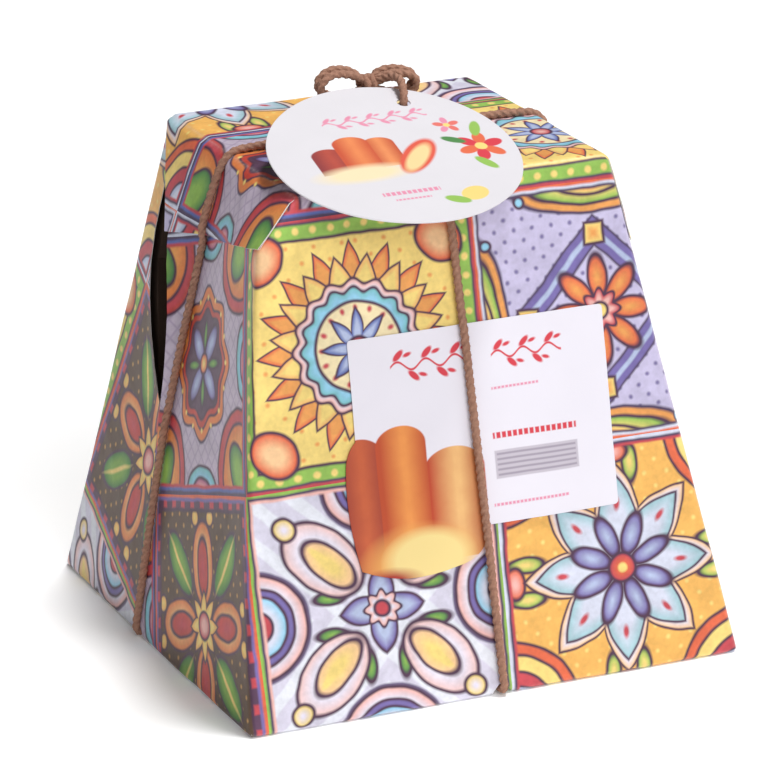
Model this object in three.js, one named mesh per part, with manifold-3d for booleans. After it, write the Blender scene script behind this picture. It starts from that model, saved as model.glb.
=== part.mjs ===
// A pandoro wrapped for a gift: a tall cake in a carton shaped as a truncated pyramid, the carton
// wrapped in printed paper with its folds on the left and right sides, tied crosswise with twine.
// A die-cut label is stuck on the front, and a round card tag hangs from the bow over the front edge.
// Millimetres, +Z up, the front towards -Y. The origin is the middle of the base.

import * as THREE from 'three';
import { ConvexGeometry } from 'three/addons/geometries/ConvexGeometry.js';
import { mergeVertices } from 'three/addons/utils/BufferGeometryUtils.js';
import Module from 'manifold-3d';

// ---- driving dimensions ----

const BASE = 230;             // side of the square base
const TOP = 145;              // side of the square top
const HEIGHT = 220;           // height of the wrapped box
const CORNER = 4;             // radius of the paper round the upright edges
const ROUND = 3;              // how far the paper rounds off the top and bottom edges
const ROOT = 3;               // how deep a fold's solid is sunk in the box

const CLEAR = 0.3;            // gap between touching pieces
const TWINE_FLAT = 2.4;       // thickness of the twine where it is pulled flat
const TWINE_WIDE = 4;         // width of the twine where it is pulled flat
const TWINE_ROUND = 3;        // diameter of the twine's tails
const BOW_WIDE = 7;           // width of the untwisted twine in the bow's loops
const BOW_THICK = 2.6;
const LABEL_THICK = 0.8;
const TAG_RADIUS = 54.5;
const TAG_THICK = 1;
const TAG_CENTRE = [-20, -56.5, 227.6];
const TAG_TILT = THREE.MathUtils.degToRad(16.5);
const TAG_HOLE = { x: 20, y: 38.1, radius: 3 };

// ---- the faces of the box ----

const LEAN = Math.atan2((BASE - TOP) / 2, HEIGHT);
const SLANT = Math.hypot(HEIGHT, (BASE - TOP) / 2);
const UP = new THREE.Vector3(0, 0, 1);
const TURN = { front: 0, right: Math.PI / 2, back: Math.PI, left: -Math.PI / 2 };

// Half the width of a face at the height v, measured up its slope.
const halfWidth = (v) => BASE / 2 - (BASE - TOP) / 2 * v / SLANT;

// A point on a face: u to the right as seen from outside, v up the slope, h out of the face.
function onFace(side, u, v, h) {
  const y = -BASE / 2 + v * Math.sin(LEAN) - h * Math.cos(LEAN);
  const z = v * Math.cos(LEAN) + h * Math.sin(LEAN);
  return new THREE.Vector3(u, y, z).applyAxisAngle(UP, TURN[side]);
}

// ---- joining and cutting ----

const wasm = await Module();
wasm.setup();

function solid(geometry) {
  const bare = geometry.index ? geometry.toNonIndexed() : geometry.clone();
  bare.deleteAttribute('normal');
  bare.deleteAttribute('uv');
  const merged = mergeVertices(bare, 1e-4);
  return new wasm.Manifold(new wasm.Mesh({
    numProp: 3,
    vertProperties: new Float32Array(merged.attributes.position.array),
    triVerts: new Uint32Array(merged.index.array),
  }));
}

function joined(geometries) {
  return geometries.map(solid).reduce((whole, piece) => whole.add(piece));
}

function geometryOf(manifold) {
  const mesh = manifold.getMesh();
  const geometry = new THREE.BufferGeometry();
  geometry.setAttribute('position', new THREE.BufferAttribute(new Float32Array(mesh.vertProperties), 3));
  geometry.setIndex(new THREE.BufferAttribute(new Uint32Array(mesh.triVerts), 1));
  return geometry;
}

// ---- the wrapped box ----

// A square with round corners, at the height z.
function squareRing(z, half) {
  const ring = [];
  for (let corner = 0; corner < 4; corner += 1) {
    const middle = new THREE.Vector3(half - CORNER, half - CORNER, z);
    for (let step = 0; step <= 3; step += 1) {
      const angle = step / 3 * Math.PI / 2;
      const point = new THREE.Vector3(Math.cos(angle), Math.sin(angle), 0).multiplyScalar(CORNER).add(middle);
      ring.push(point.applyAxisAngle(UP, corner * Math.PI / 2));
    }
  }
  return ring;
}

function coreBox() {
  const side = (z) => BASE / 2 - (BASE - TOP) / 2 * z / HEIGHT;
  const rings = [
    squareRing(0, side(0) - ROUND / 2),
    squareRing(ROUND / 2, side(ROUND / 2)),
    squareRing(HEIGHT - ROUND, side(HEIGHT - ROUND)),
    squareRing(HEIGHT - ROUND * 0.3, side(HEIGHT) - ROUND * 0.3),
    squareRing(HEIGHT, side(HEIGHT) - ROUND),
  ];
  return new ConvexGeometry(rings.flat());
}

// A convex stretch of folded paper on a face, from its surface points down into the box.
function fold(side, points, extra = []) {
  const corners = points.flatMap(([u, v, h]) => [onFace(side, u, v, h), onFace(side, u, v, -ROOT)]);
  return new ConvexGeometry([...corners, ...extra]);
}

// The left edge of the front: the paper stands off the carton there, in the plane of the front,
// by [height up the slope, how far out].
const LOOSE_EDGE = [[4, 0.2], [50, 4.8], [112, 10], [160, 12.8], [203.6, 14.4]];
const LOOSE_INSET = 7;
const LOOSE_FOOT = 22;

// The left side's near fold under the twine and at its free edge: [u, v, h].
const NEAR_UNDER_TWINE = [
  [-15, 4, 0],
  [-11, 50, 3.3],
  [-7.6, 97, 5],
  [-4, 140, 4.3],
  [-1, 182, 3],
  [0, 196, 2],
];
const NEAR_FREE_EDGE = [
  [-22, 4, 0.2],
  [-21, 50, 2.4],
  [-20, 97, 4.6],
  [-31, 177, 9],
  [-32, 186, 9.2],
];

function looseEdge() {
  const proud = LOOSE_EDGE.map(([v, out]) => onFace('front', -(halfWidth(v) + out), v, 0));
  const foot = onFace('front', -(halfWidth(LOOSE_FOOT) - LOOSE_INSET), LOOSE_FOOT, 0);
  const head = onFace('front', -(halfWidth(SLANT) - ROUND), SLANT - ROUND, 0);
  return [...proud, foot, head];
}

function leftNearFold() {
  return [
    fold('left', NEAR_UNDER_TWINE, looseEdge()),
    fold('left', [...NEAR_UNDER_TWINE, ...NEAR_FREE_EDGE]),
  ];
}

// The dark pocket between the near fold's free edge and the far fold.
function leftPocket() {
  const wide = [[-24, -6], [-36, 7], [-68, 12], [-68, -6]].map(([u, h]) => onFace('left', u, 198, h));
  const narrow = [[-19, -0.5], [-20.5, 2], [-24, 5], [-24, -0.5]].map(([u, h]) => onFace('left', u, 99, h));
  return new ConvexGeometry([...wide, ...narrow]);
}

function leftTopFold() {
  const [lastV, lastOut] = LOOSE_EDGE[LOOSE_EDGE.length - 1];
  const shoulder = onFace('front', -(halfWidth(lastV) + lastOut + 0.6), lastV, 0.4);
  const edge = SLANT - ROUND;
  const middle = [[0, 184, 4.6], [0, edge, 0.4]];
  return [
    fold('left', [...middle, [40, 191, 9.5], [68, edge, 0.2]], [shoulder]),
    fold('left', [...middle, [-33, 184, 11.5], [-77, 191, 2], [-70, edge, 0.2]]),
  ];
}

function rightFolds() {
  const edge = SLANT - ROUND;
  return [
    fold('right', [[-113, 4, 0.1], [-77, 200, 0.1], [14, 200, 1.4], [4, 4, 0.2], [10, 110, 1.6]]),
    fold('right', [[-71, edge, 0.2], [71, edge, 0.2], [-76, 186, 2], [0, 183, 2.6], [76, 189, 2]]),
  ];
}

// The twine's channel under the base lets the box stand flat.
const TWINE_RISE = CLEAR + TWINE_FLAT / 2;
const CHANNEL_DEEP = 3.4;
const CHANNEL_WIDE = TWINE_WIDE + 1.2;
const UNDER_Z = CHANNEL_DEEP - TWINE_RISE;

// Where each run of twine crosses the bottom edge of its face.
const FOOT = { front: 1.6, back: 1.6, left: -15, right: -15 };

function channel(side) {
  const geometry = new THREE.BoxGeometry(CHANNEL_WIDE, BASE * 1.2, CHANNEL_DEEP * 2);
  const foot = onFace(side, FOOT[side], 0, 0);
  geometry.rotateZ(Math.atan2(foot.y, foot.x) - Math.PI / 2);
  return geometry;
}

function wrappedBox() {
  const near = joined([coreBox(), ...leftNearFold(), ...rightFolds()]);
  const withTop = near.subtract(solid(leftPocket())).add(joined(leftTopFold()));
  return withTop.subtract(solid(channel('front'))).subtract(solid(channel('left')));
}

// ---- the label ----

// The outline of the label on the front: a sheet with a cake-shaped piece standing out of its
// lower left corner.
function labelOutline() {
  const outline = new THREE.Shape();
  outline.moveTo(-53.7, 161);
  outline.lineTo(60.6, 161);
  outline.quadraticCurveTo(62.6, 161, 62.6, 159);
  outline.lineTo(62.6, 76);
  outline.quadraticCurveTo(62.6, 74, 60.6, 74);
  outline.lineTo(2, 74);
  outline.quadraticCurveTo(0, 60, -14, 58.5);
  outline.quadraticCurveTo(-38, 53, -58, 63);
  outline.quadraticCurveTo(-63, 84, -61, 106);
  outline.quadraticCurveTo(-60.5, 114, -55.7, 118);
  outline.lineTo(-55.7, 159);
  outline.quadraticCurveTo(-55.7, 161, -53.7, 161);
  return outline;
}

function labelGeometry() {
  const options = { depth: LABEL_THICK, bevelEnabled: false, curveSegments: 6 };
  return new THREE.ExtrudeGeometry(labelOutline(), options);
}

// ---- the twine ----

// A route through given points: the twine's sections stand at those points.
class Route extends THREE.Curve {
  constructor(points) {
    super();
    this.points = points;
  }
  getPointAt(share) {
    return this.points[Math.round(share * (this.points.length - 1))].clone();
  }
  getTangentAt(share) {
    const index = Math.round(share * (this.points.length - 1));
    const before = this.points[Math.max(index - 1, 0)];
    const after = this.points[Math.min(index + 1, this.points.length - 1)];
    return after.clone().sub(before).normalize();
  }
}

// The same points with each corner rounded off over the given distance.
function rounded(points, reach, steps) {
  const route = [points[0]];
  for (let index = 1; index < points.length - 1; index += 1) {
    const corner = points[index];
    const towards = (other) => corner.clone().lerp(other, reach[index] / corner.distanceTo(other));
    const start = towards(points[index - 1]);
    const end = towards(points[index + 1]);
    const bend = new THREE.QuadraticBezierCurve3(start, corner, end);
    route.push(...(reach[index] > 0 ? bend.getPoints(steps) : [corner]));
  }
  route.push(points[points.length - 1]);
  return route;
}

function tube(route, thick, wide, sides = 8) {
  const section = new THREE.Shape();
  for (let side = 0; side < sides; side += 1) {
    const angle = (side + 0.5) / sides * Math.PI * 2;
    const place = [Math.cos(angle) * thick / 2, Math.sin(angle) * wide / 2];
    if (side === 0) section.moveTo(...place);
    else section.lineTo(...place);
  }
  section.closePath();
  const options = { steps: route.points.length - 1, bevelEnabled: false, extrudePath: route };
  return new THREE.ExtrudeGeometry(section, options);
}

// The surface under each run, from the bottom up: [u, v, h].
const FRONT_HEAD = -4.7;
const LABEL_RISE = CLEAR + LABEL_THICK;
const frontU = (v) => FOOT.front + (FRONT_HEAD - FOOT.front) * v / SLANT;
const RUN_OVER = {
  front: [[48, 0], [56, LABEL_RISE], [162, LABEL_RISE], [169, 0]].map(([v, h]) => [frontU(v), v, h]),
  back: [],
  left: [[-11, 50, 3.3], [-7.6, 97, 5.2], [-4, 140, 4.6], [-1.2, 181, 4.9], [-0.8, 188, 4.6]],
  right: [[-7, 110, 1.6], [-2, 180, 2.6], [-1, 188, 2.7]],
};
const HEAD = { front: FRONT_HEAD, back: 0, left: 0, right: 0 };
const HEAD_RISE = { front: 0, back: 0, left: 0.8, right: 0.8 };

function run(side) {
  const atHeight = (z, h) => (z - h * Math.sin(LEAN)) / Math.cos(LEAN);
  const footV = atHeight(UNDER_Z, TWINE_RISE);
  const headH = TWINE_RISE + HEAD_RISE[side];
  const headV = atHeight(HEIGHT + TWINE_RISE, headH);
  const points = [
    new THREE.Vector3(0, 0, UNDER_Z),
    onFace(side, FOOT[side], footV, TWINE_RISE),
    ...RUN_OVER[side].map(([u, v, h]) => onFace(side, u, v, h + TWINE_RISE)),
    onFace(side, HEAD[side], headV, headH),
    new THREE.Vector3(0, 0, HEIGHT + TWINE_RISE),
  ];
  const reach = points.map(() => 0);
  reach[1] = 2;
  reach[points.length - 2] = 4;
  return tube(new Route(rounded(points, reach, 4)), TWINE_FLAT, TWINE_WIDE);
}

function strand(points, steps, thick = TWINE_ROUND, wide = TWINE_ROUND) {
  const places = points.map((point) => new THREE.Vector3(...point));
  const curve = new THREE.CatmullRomCurve3(places, false, 'centripetal');
  return tube(new Route(curve.getSpacedPoints(steps)), thick, wide);
}

function lump({ centre, size }) {
  const ball = new THREE.SphereGeometry(1, 14, 8);
  ball.rotateX(Math.PI / 2);
  ball.scale(size[0] / 2, size[1] / 2, size[2] / 2);
  ball.translate(...centre);
  return ball;
}

const BOW = [-6, 4, 241];
const LEFT_LOOP = [
  BOW,
  [-14, 3.5, 247.5],
  [-24, 2, 249.4],
  [-30, 1.5, 245],
  [-27, 2, 239],
  [-17, 3, 237.5],
  BOW,
];
const RIGHT_LOOP = [
  BOW,
  [-1, 4, 247.5],
  [7, 3, 249.6],
  [13.5, 2, 246],
  [11, 3, 240],
  [3, 4, 238],
  BOW,
];
const LEFT_TAIL = [BOW, [-14, 4, 238], [-22, 7, 232], [-27, 9, 224.5]];
// The other end goes over the tag's back rim, down through its hole and back to the first knot.
const TAG_TAIL = [
  BOW,
  [0, -2, 245.5],
  [2.5, -10, 246.5],
  [1, -18, 243],
  [0, -20, 238.4],
  [1, -17, 233.5],
  [1, -8, 230],
  [0, 0, 226],
];
const KNOT = { centre: [0, 0, 225.5], size: [13, 12, 9.4] };
const NECK = { centre: [-3, 1, 232.5], size: [7, 6.5, 12] };
const BOW_KNOT = { centre: BOW, size: [10, 8, 9] };

function twine() {
  return joined([
    run('front'),
    run('back'),
    run('left'),
    run('right'),
    lump(KNOT),
    lump(NECK),
    lump(BOW_KNOT),
    strand(LEFT_LOOP, 26, BOW_WIDE, BOW_THICK),
    strand(RIGHT_LOOP, 24, BOW_WIDE, BOW_THICK),
    strand(LEFT_TAIL, 10),
    strand(TAG_TAIL, 22),
  ]);
}

// ---- the tag ----

function tagGeometry() {
  const card = new THREE.Shape();
  card.absarc(0, 0, TAG_RADIUS, 0, Math.PI * 2, false);
  const hole = new THREE.Path();
  hole.absarc(TAG_HOLE.x, TAG_HOLE.y, TAG_HOLE.radius, 0, Math.PI * 2, true);
  card.holes.push(hole);
  const options = { depth: TAG_THICK, bevelEnabled: false, curveSegments: 40 };
  return new THREE.ExtrudeGeometry(card, options).translate(0, 0, -TAG_THICK / 2);
}

// ---- the scene ----

function mesh(name, geometry, look) {
  const made = new THREE.Mesh(geometry, new THREE.MeshStandardMaterial({ metalness: 0, ...look }));
  made.name = name;
  return made;
}

const pack = new THREE.Group();

pack.add(mesh('wrapped_box', geometryOf(wrappedBox()), { color: 0xd98a55, roughness: 0.5 }));

const label = mesh('label', labelGeometry(), { color: 0xf6f2f4, roughness: 0.45 });
label.position.copy(onFace('front', 0, 0, CLEAR));
label.rotation.x = Math.PI / 2 - LEAN;
pack.add(label);

pack.add(mesh('twine', geometryOf(twine()), { color: 0x9a7560, roughness: 0.85 }));

const tag = mesh('tag', tagGeometry(), { color: 0xf7f5f6, roughness: 0.5 });
tag.position.set(...TAG_CENTRE);
tag.rotation.x = TAG_TILT;
pack.add(tag);

export default pack;
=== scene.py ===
# %% [markdown]
# # A pandoro, wrapped for a gift
#
# The real thing is a tall cake in a carton shaped as a truncated pyramid. The carton is wrapped in
# printed paper whose ends are folded over each other on the left and right sides, and brown twine
# goes crosswise round it, up to a bow. A label is stuck on the front, and a round card tag hangs
# from the bow. The solids of the frame give every place and size; here each piece gets its true
# surface.

import math

import bmesh
import bpy
from mathutils import Matrix, Vector, noise


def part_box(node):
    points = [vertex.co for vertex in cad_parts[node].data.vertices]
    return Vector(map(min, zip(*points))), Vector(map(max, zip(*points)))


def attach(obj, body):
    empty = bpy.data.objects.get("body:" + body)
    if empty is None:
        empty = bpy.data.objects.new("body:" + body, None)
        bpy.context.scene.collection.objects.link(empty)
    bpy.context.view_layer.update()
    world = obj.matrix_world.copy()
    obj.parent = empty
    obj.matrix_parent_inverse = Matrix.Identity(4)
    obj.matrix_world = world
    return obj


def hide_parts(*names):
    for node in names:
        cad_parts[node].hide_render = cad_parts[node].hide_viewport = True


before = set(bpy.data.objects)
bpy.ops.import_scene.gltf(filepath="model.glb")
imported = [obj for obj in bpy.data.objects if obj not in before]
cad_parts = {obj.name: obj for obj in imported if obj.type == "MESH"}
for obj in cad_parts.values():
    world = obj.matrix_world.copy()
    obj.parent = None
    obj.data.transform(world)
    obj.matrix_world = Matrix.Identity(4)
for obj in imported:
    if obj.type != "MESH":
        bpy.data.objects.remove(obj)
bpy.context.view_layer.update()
print("the frame's nodes:", sorted(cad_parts))

# %% [markdown]
# ## The box's measures
#
# The lengths below are in millimetres, as a carton maker writes them, and become metres where a
# point is put in its place. Each sloping face has coordinates of its own: `u` to the right as seen
# from outside, `v` up the slope and `h` out of the face.

# %% Measures of the box
MM = 0.001
BASE = 230.0
TOP = 145.0
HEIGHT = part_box("wrapped_box")[1][2] / MM

LEAN = math.atan2((BASE - TOP) / 2, HEIGHT)
SLANT = math.hypot(HEIGHT, (BASE - TOP) / 2)
EDGE_SLOPE = (BASE - TOP) / 2 / SLANT
TURN = {"front": 0, "right": math.pi / 2, "back": math.pi, "left": -math.pi / 2}
print(f"slant {SLANT:.1f} mm, lean {math.degrees(LEAN):.1f} degrees")


def half_width(v):
    """Half the width of a face at the height v up its slope."""
    return BASE / 2 - EDGE_SLOPE * v


def on_face(side, u, v, h):
    """The place of a face's point, in metres."""
    y = -BASE / 2 + v * math.sin(LEAN) - h * math.cos(LEAN)
    z = v * math.cos(LEAN) + h * math.sin(LEAN)
    return Matrix.Rotation(TURN[side], 3, "Z") @ Vector((u, y, z)) * MM


def between(points, x):
    """The height at x of a line through the given points, which are in order."""
    if x <= points[0][0]:
        return points[0][1]
    for (x0, y0), (x1, y1) in zip(points, points[1:]):
        if x <= x1:
            return y0 + (y1 - y0) * (x - x0) / (x1 - x0)
    return points[-1][1]


# %% [markdown]
# ## How the ends are folded
#
# On the left and right sides three layers of paper lie over each other: the far fold that comes
# round from the back, the near fold that comes round from the front, and the top fold that hangs
# down over both. Each is a height field over the face: it says how far the paper stands out at each
# point. The left end is loose. Its near fold stands off the carton along the whole front edge and
# springs up past the twine, and its far fold is cut back there. That leaves a gap shaped like a
# leaf, from below the top fold to about half the height. In an end's own coordinates `u` runs
# towards the front.

# %% The folded ends
PAPER_LIFT = 0.4       # the least distance between two layers
TOP_LIFT = 0.2         # the top fold's least distance from the face
TOP_EASE = 3           # the height over which the top fold leaves its fold line
SPRING = 1.3           # above 1 the near fold springs up late
FAR_LIFT = 0.3
FAR_FADE = 14          # how far the rise of the far fold's edge reaches


class FoldedEnd:
    """The layers of folded paper on one end of the box."""

    def __init__(self, side, sign, **shape):
        self.side = side
        self.sign = sign
        self.__dict__.update(shape)

    def twine_u(self, v):
        return self.twine_foot * (1 - v / SLANT)

    def top_edge_v(self, u):
        """The lower edge of the top fold."""
        return between(self.top_edge, u)

    def top(self, u, v):
        """How far the top fold stands out."""
        fall = max(SLANT - v, 0) / (SLANT - between(self.top_reach, u))
        height = between(self.top_rise, u) * min(fall, 1.2) ** between(self.top_curve, u) + TOP_LIFT
        return height * min(max(SLANT - v, 0) / TOP_EASE, 1)

    def under_top(self, u, v, height, layers):
        """A height, kept this many layers below the top fold where that hangs over it."""
        if v > self.top_edge_v(u) - 1:
            return min(height, self.top(u, v) - PAPER_LIFT * layers)
        return height

    def near(self, u, v):
        """How far the near fold stands out."""
        at_twine = self.twine_u(v)
        pressed = between(self.under_twine, v)
        if u >= at_twine:
            share = min((u - at_twine) / (half_width(v) - at_twine), 1)
            edge = self.fold_out * v
            height = pressed + (edge - pressed) * share + self.belly * v * math.sin(math.pi * share)
        else:
            share = (at_twine - u) / (at_twine - between(self.free_edge, v))
            height = pressed + (between(self.free_rise, v) - pressed) * share**SPRING
        return self.under_top(u, v, height, 1.5)

    def far(self, u, v):
        """How far the far fold stands out."""
        beyond = between(self.far_edge, v) - u
        height = FAR_LIFT + self.far_rise * math.exp(-max(beyond, 0) / FAR_FADE)
        if u > between(self.free_edge, v):
            height = min(height, self.near(u, v) - PAPER_LIFT)
        return self.under_top(u, v, height, 2.5)

    def outermost(self, u, v):
        return max(self.near(u, v), self.top(u, v) if v > self.top_edge_v(u) else 0)

    def place(self, u, v, h):
        return on_face(self.side, self.sign * u, v, h)


LEFT = FoldedEnd(
    "left", 1,
    twine_foot=-15, fold_lean=0.1184, fold_out=0.07, belly=0.008,
    under_twine=[(0, 0.9), (50, 3.3), (97, 5), (140, 4.3), (182, 3), (204, 2.4)],
    free_edge=[
        (0, -22), (97, -17), (120, -15.5), (135, -16.5), (145, -19), (155, -23), (167, -28.5),
        (185, -33.5), (225, -40)],
    free_rise=[(0, 1.1), (50, 3.0), (97, 6.5), (135, 9), (225, 9.5)],
    far_edge=[
        (0, 19), (90, -17), (97, -23.5), (106, -33), (117, -43), (130, -52.5), (144, -59.5),
        (158, -63.5), (173, -64.5), (190, -62.5), (225, -56)],
    far_rise=1.5,
    top_edge=[(-72.5, 224), (-35, 180), (-3, 187), (23, 191), (50, 196), (76.4, 201.2)],
    top_reach=[(-35, 180), (-3, 187), (23, 191), (50, 196), (76.4, 201.2)],
    top_rise=[(-50, 9), (-35, 9.6), (-18, 7.6), (-3, 4.8), (15, 6.6), (40, 11.8), (76.4, 14.2)],
    top_curve=[(40, 0.7), (76.4, 1)],
)
RIGHT = FoldedEnd(
    "right", -1,
    twine_foot=15, fold_lean=EDGE_SLOPE, fold_out=0, belly=0.003,
    under_twine=[(0, 0.9), (100, 1.3), (204, 1.3)],
    free_edge=[(0, 2), (204, -12)],
    free_rise=[(0, 1.1), (204, 2.2)],
    far_edge=[(0, 26), (204, 8)], far_rise=0.3,
    top_edge=[(-79, 189), (0, 183), (80, 186)],
    top_reach=[(-79, 189), (0, 183), (80, 186)],
    top_rise=[(-79, 0.8), (0, 2.3), (60, 1.6), (80, 0.6)],
    top_curve=[(0, 0.7)],
)
print(f"the left fold stands out {LEFT.near(75, 200):.1f} mm at its top")

# %% [markdown]
# ## Cutting flat sheets
#
# Paper is made flat and folded afterwards, and so are these meshes. A sheet starts as a grid in its
# own flat coordinates, in millimetres. `bisect_plane` scores it along fold lines and along the
# lines of the print, and faces outside the outline are thrown away. Only then does each vertex move
# to its place on the box, so the print keeps running round the folds.

# %% Sheet tools
HIDDEN_TOP = SLANT - 3  # where the near and far folds end, under the top fold
GRID = 3.0             # the size of a sheet's meshes
SNAP = 0.2             # a score passes through a vertex that is this near


def flat_sheet(left, right, low, high):
    sheet = bmesh.new()
    columns = round((right - left) / GRID)
    rows = max(round((high - low) / GRID), 1)
    bmesh.ops.create_grid(sheet, x_segments=columns, y_segments=rows, size=0.5)
    bmesh.ops.scale(sheet, vec=(right - left, high - low, 1), verts=sheet.verts)
    bmesh.ops.translate(sheet, vec=((left + right) / 2, (low + high) / 2, 0), verts=sheet.verts)
    return sheet


def score(sheet, point, direction):
    """Cuts the sheet's meshes along a line through a point."""
    across = Vector((-direction[1], direction[0], 0)).normalized()
    everything = [*sheet.verts, *sheet.edges, *sheet.faces]
    bmesh.ops.bisect_plane(
        sheet, geom=everything, dist=SNAP, plane_co=(*point, 0), plane_no=across)


def score_fold(sheet, point, direction, offsets=(0, 1, 2, 3, -1, -2, -3)):
    """Scores a fold line, and lines beside it that let the paper bend in a small radius."""
    along = Vector((*direction, 0)).normalized()
    across = Vector((-along.y, along.x, 0))
    for offset in offsets:
        place = Vector((*point, 0)) + across * offset
        score(sheet, place.xy, along.xy)


def score_line(sheet, points):
    """Scores a line through points, one stretch after the other."""
    for start, stop in zip(points, points[1:]):
        score(sheet, start, stop - start)


def score_rows(sheet, heights):
    """Scores level lines."""
    for height in heights:
        score(sheet, (0, height), (1, 0))

def discard(sheet, outside):
    """Throws away the faces whose middle is outside."""
    scrap = [face for face in sheet.faces if outside(*face.calc_center_median().xy)]
    bmesh.ops.delete(sheet, geom=scrap, context="FACES")


# %% [markdown]
# ## The print's tiles
#
# The paper is printed like a patchwork of painted tiles. The tiles lie on one grid that runs over
# the whole flat sheet: up the front, over the top and down the back. Each tile is one of six
# motifs, and each motif is a material of its own, so a face only has to know its tile and where it
# lies in it.

# %% The grid of tiles
TILE = 112.0
TILE_EDGE = Vector((6.0, -10.0))
MOTIFS = ["star", "lattice", "lily", "sun", "leaf", "lace"]
ROWS = [
    ("leaf", "lily", "star", "lace"),
    ("lace", "sun", "lattice", "lily"),
    ("star", "lace", "sun", "leaf"),
    ("lattice", "star", "lily", "lace"),
    ("leaf", "sun", "lace", "star"),
    ("lily", "lattice", "sun", "leaf"),
]


def identity(s, t):
    """The place in the print, where the sheet's own coordinates are the print's."""
    return s, t


def tile_of(place):
    return [math.floor((place[axis] - TILE_EDGE[axis]) / TILE) for axis in (0, 1)]


def score_tiles(sheet, to_print):
    """Scores the sheet along the print's grid. to_print gives a place's place in the print."""
    origin = Vector(to_print(0, 0))
    for axis, unit in ((0, Vector((1, 0))), (1, Vector((0, 1)))):
        step = Vector(to_print(*unit)) - origin
        for line in range(-4, 7):
            at = (TILE_EDGE[axis] + line * TILE - origin[axis]) / step[axis]
            score(sheet, unit * at, unit.yx)


def lay_print(sheet, to_print):
    """Gives each face its tile's material and its place in the tile."""
    uv = sheet.loops.layers.uv.new("print")
    for face in sheet.faces:
        column, row = tile_of(to_print(*face.calc_center_median().xy))
        motif = ROWS[row % len(ROWS)][(column + 2) % len(ROWS[0])]
        face.material_index = MOTIFS.index(motif)
        for loop in face.loops:
            s, t = to_print(*loop.vert.co.xy)
            loop[uv].uv = (s - TILE_EDGE.x) / TILE - column, (t - TILE_EDGE.y) / TILE - row


# %% [markdown]
# ## Rounding the folds
#
# Folded paper bends in a small radius. Near a fold each vertex moves inwards along the fold's
# bisector, by a square of its nearness, which makes the two faces meet in a smooth curve. The
# movement depends only on the place, so vertices that two sheets share stay together.

# %% Rounding
BEND = 3.2             # how far a fold's curve reaches, in millimetres


def face_plane(side):
    """A point on a plane of the box, and its outward normal."""
    if side == "top":
        return Vector((0, 0, HEIGHT * MM)), Vector((0, 0, 1))
    if side == "base":
        return Vector((0, 0, 0)), Vector((0, 0, -1))
    origin = on_face(side, 0, 0, 0)
    return origin, (on_face(side, 0, 0, 1) - origin).normalized()


PLANES = {side: face_plane(side) for side in ("front", "right", "back", "left", "top", "base")}
FOLDS = [
    ("front", "right"), ("right", "back"), ("back", "left"),
    *((side, "top") for side in TURN), *((side, "base") for side in TURN),
]


def depth(side, place):
    """How far a place lies inside a plane of the box, in millimetres."""
    origin, normal = PLANES[side]
    return max((origin - place).dot(normal) / MM, 0)


def rounded(place):
    """The place, moved inwards if it is near a fold, and how near it is."""
    moved = place.copy()
    nearness = 0
    for one, other in FOLDS:
        normals = PLANES[one][1], PLANES[other][1]
        dihedral = math.pi - normals[0].angle(normals[1])
        away = (depth(one, place) + depth(other, place)) / math.sin(dihedral)
        if away < BEND:
            closeness = 1 - away / BEND
            inwards = -(normals[0] + normals[1]).normalized()
            moved += inwards * MM * BEND / 2 * math.cos(dihedral / 2) * closeness**2
            nearness = max(nearness, closeness)
    return moved, nearness


# %% [markdown]
# ## Where the twine bites
#
# The twine runs under the base in two channels, which let the pack stand flat. The paper follows
# them, and the bottom edge is nicked where the twine turns round it. Last comes the faint rumple
# that all wrapping paper has: a smooth noise that moves each place a little.

# %% Channels and rumple
FOOT = {"front": 1.6, "back": 1.6, "left": -15.0, "right": -15.0}
HEAD = {"front": -4.7, "back": 0.0, "left": 0.0, "right": 0.0}
CHANNEL_DEEP = 4.3
CHANNEL_WIDE = 3.4
NICK_HIGH = 9.0
WIDE_WAVE = 0.4        # how far the rumple moves a place, in wide waves and in fine ones
FINE_WAVE = 0.09
FLOOR_GAP = 0.1        # how far the paper stays above the floor

# Without a seed the vector noise would start from the clock.
noise.seed_set(7)


def channel_lift(place):
    """How far the channels lift a place near the base."""
    lift = 0
    for side in ("front", "left"):
        along = on_face(side, FOOT[side], 0, 0).normalized()
        off = abs(place.x * along.y - place.y * along.x) / MM
        lift = max(lift, CHANNEL_DEEP * math.exp(-((off / CHANNEL_WIDE) ** 4)))
    return lift * max(1 - place.z / MM / NICK_HIGH, 0)


def rumpled(place):
    coarse = noise.noise_vector(place * 28) * WIDE_WAVE
    fine = noise.noise_vector(place * 110 + Vector((7, 3, 5))) * FINE_WAVE
    return place + (coarse + fine) * MM


def settled(place):
    """A place of the paper after folding, rounding, pressing and rumpling."""
    soft, nearness = rounded(place)
    lifted = rumpled(soft)
    lifted.z = max(lifted.z, FLOOR_GAP * MM) + channel_lift(place) * MM
    return lifted, nearness


def fold_up(sheet, to_place):
    """Moves the flat sheet's vertices to their places on the box."""
    fold = sheet.verts.layers.float.new("fold")
    for vertex in sheet.verts:
        vertex.co, vertex[fold] = settled(to_place(vertex.co.x, vertex.co.y))


def finish_sheet(name, sheet, beyond, to_print, to_place):
    """Trims a scored sheet to its outline, prints it and folds it up."""
    discard(sheet, beyond)
    score_tiles(sheet, to_print)
    lay_print(sheet, to_print)
    fold_up(sheet, to_place)
    print(name, "sheet:", len(sheet.faces), "faces")


# %% [markdown]
# ## Front sheet
#
# The front sheet holds the front face and both near folds. Beyond a fold line the flat sheet turns
# about the bottom corner to come into the end's coordinates. On the left the fold line leans less
# than the carton's edge, so the paper stands off the carton there.

# %% Where a flat place comes to lie
ON_LINE = 0.01         # a place this near a fold line is on it
JOIN_REACH = 15        # how far from a fold line an end's paper is led to it


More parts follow.
